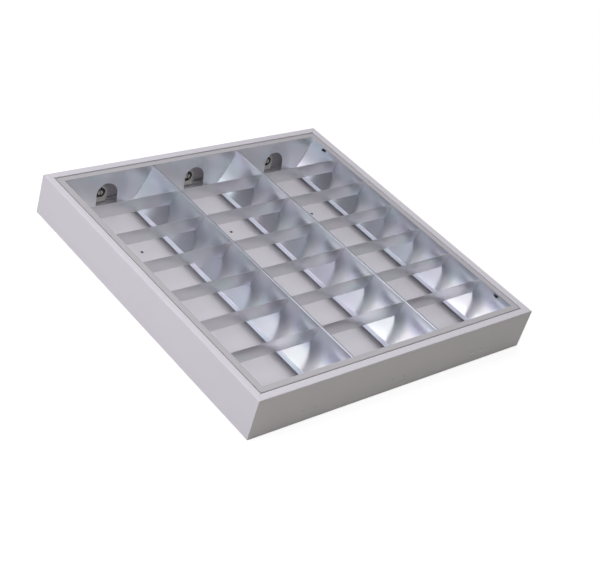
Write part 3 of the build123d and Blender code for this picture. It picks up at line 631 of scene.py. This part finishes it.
def backdropMaterial():
    # white where it is looked at, open to the sky's light
    mat, tree = stageMaterial("studioBackdrop")
    white = addNode(tree, "ShaderNodeEmission", {"Strength": 1.0})
    clear = addNode(tree, "ShaderNodeBsdfTransparent")
    endShader(tree, addNode(tree, "ShaderNodeMixShader",
                            {0: seenRay(tree), 1: clear.outputs[0], 2: white.outputs[0]}))
    return mat


def floorMesh():
    mesh = bpy.data.meshes.new("floor")
    bm = bmesh.new()
    bmesh.ops.create_circle(bm, cap_ends=True, radius=studio["backdropRadius"],
                            segments=studio["backdropSides"])
    bm.to_mesh(mesh)
    bm.free()
    mesh.transform(Matrix.Translation((0, 0, -studio["floorDrop"])))
    return mesh


def backdropMesh():
    # a ring, seen from inside
    mesh = bpy.data.meshes.new("backdrop")
    radius, sides = studio["backdropRadius"], studio["backdropSides"]
    bm = bmesh.new()
    ring = []
    for i in range(sides):
        angle = i * math.tau / sides
        ring.append([bm.verts.new((radius * math.cos(angle), radius * math.sin(angle), z))
                     for z in (0, studio["backdropHeight"])])
    for i in range(sides):
        a, b = ring[i - 1], ring[i]
        bm.faces.new((a[0], a[1], b[1], b[0]))
    bm.to_mesh(mesh)
    bm.free()
    return mesh


floor = newObject("floor", floorMesh())
floor.data.materials.append(floorMaterial())
backdrop = newObject("backdrop", backdropMesh())
backdrop.data.materials.append(backdropMaterial())


lamps = {
    "key": {"place": (-1.32, 0.36, 1.27), "size": (1.0, 1.0), "power": 3.8,
            "colour": (1.0, 0.95, 0.88)},
    "soft": {"place": (-1.32, 0.36, 1.27), "size": (1.5, 1.5), "power": 4.0,
             "colour": (0.80, 0.82, 1.0)},
    "top": {"place": (-0.22, -0.05, 1.60), "size": (2.1, 1.9), "power": 15.6,
            "colour": (0.98, 0.98, 1.0)},
    "left": {"place": (-2.7, 0.0, 0.80), "size": (1.8, 1.1), "power": 19.0,
             "colour": (0.79, 0.80, 1.0)},
    "near": {"place": (-1.64, -1.41, 1.44), "size": (0.8, 0.8), "power": 2.3,
             "colour": (1.0, 0.97, 0.98)},
}
for name, lamp in lamps.items():
    light = bpy.data.lights.new(name, "AREA")
    light.shape = "RECTANGLE"
    light.size, light.size_y = lamp["size"]
    light.energy = lamp["power"]
    light.color = lamp["colour"]
    holder = newObject(name, light)
    holder.location = lamp["place"]
    holder.rotation_euler = (-Vector(lamp["place"])).to_track_quat("-Z", "Y").to_euler()
    holder.visible_camera = False


def setSky():
    world = bpy.data.worlds.new("studioSky")
    bpy.context.scene.world = world
    world.use_nodes = True
    tree = world.node_tree
    direction = addNode(tree, "ShaderNodeTexCoord").outputs["Generated"]
    split = addNode(tree, "ShaderNodeSeparateXYZ", {"Vector": direction})
    alongX, alongY = (mathNode(tree, "MULTIPLY", split.outputs[axis], share)
                      for axis, share in zip("XY", studio["skyAxis"]))
    along = spread(tree, mathNode(tree, "ADD", alongX, alongY), 0, 1, fromLow=-1, fromHigh=1)
    ramp = addNode(tree, "ShaderNodeValToRGB", {"Fac": along})
    stops = ramp.color_ramp.elements
    while len(stops) < len(studio["sky"]):
        stops.new(0.5)
    for stop, (place, colour) in zip(stops, studio["sky"]):
        stop.position = place
        stop.color = (*colour, 1)
    tree.links.new(ramp.outputs["Color"], tree.nodes["Background"].inputs["Color"])


setSky()
bpy.context.scene.view_settings.view_transform = "Standard"
print("light set")


view = {
    "azimuth": -49.355,
    "elevation": 33.749,
    "roll": 17.934,
    "distance": 2.39332,
    "across": 0.036239,  # the centre of the back lies off the axis
    "up": -0.007256,
    "lens": 81.7056,
    "sensor": 36.0,
    "clip": 100,
}


def placeCamera():
    azimuth, elevation, roll = (math.radians(view[k]) for k in ("azimuth", "elevation", "roll"))
    back = Vector((math.sin(azimuth) * math.cos(elevation),
                   -math.cos(azimuth) * math.cos(elevation), math.sin(elevation)))
    right = (-back).cross(Vector((0, 0, 1))).normalized()
    up = right.cross(-back)
    rolledRight = right * math.cos(roll) + up * math.sin(roll)
    rolledUp = up * math.cos(roll) - right * math.sin(roll)
    data = bpy.data.cameras.new("camera")
    data.sensor_fit = "HORIZONTAL"
    data.sensor_width = view["sensor"]
    data.lens = view["lens"]
    data.clip_end = view["clip"]
    camera = newObject("camera", data)
    place = back * view["distance"] + rolledRight * view["across"] + rolledUp * view["up"]
    turn = Matrix((rolledRight, rolledUp, back)).transposed()
    camera.matrix_world = Matrix.Translation(place) @ turn.to_4x4()
    bpy.context.scene.camera = camera


placeCamera()
print("camera set")
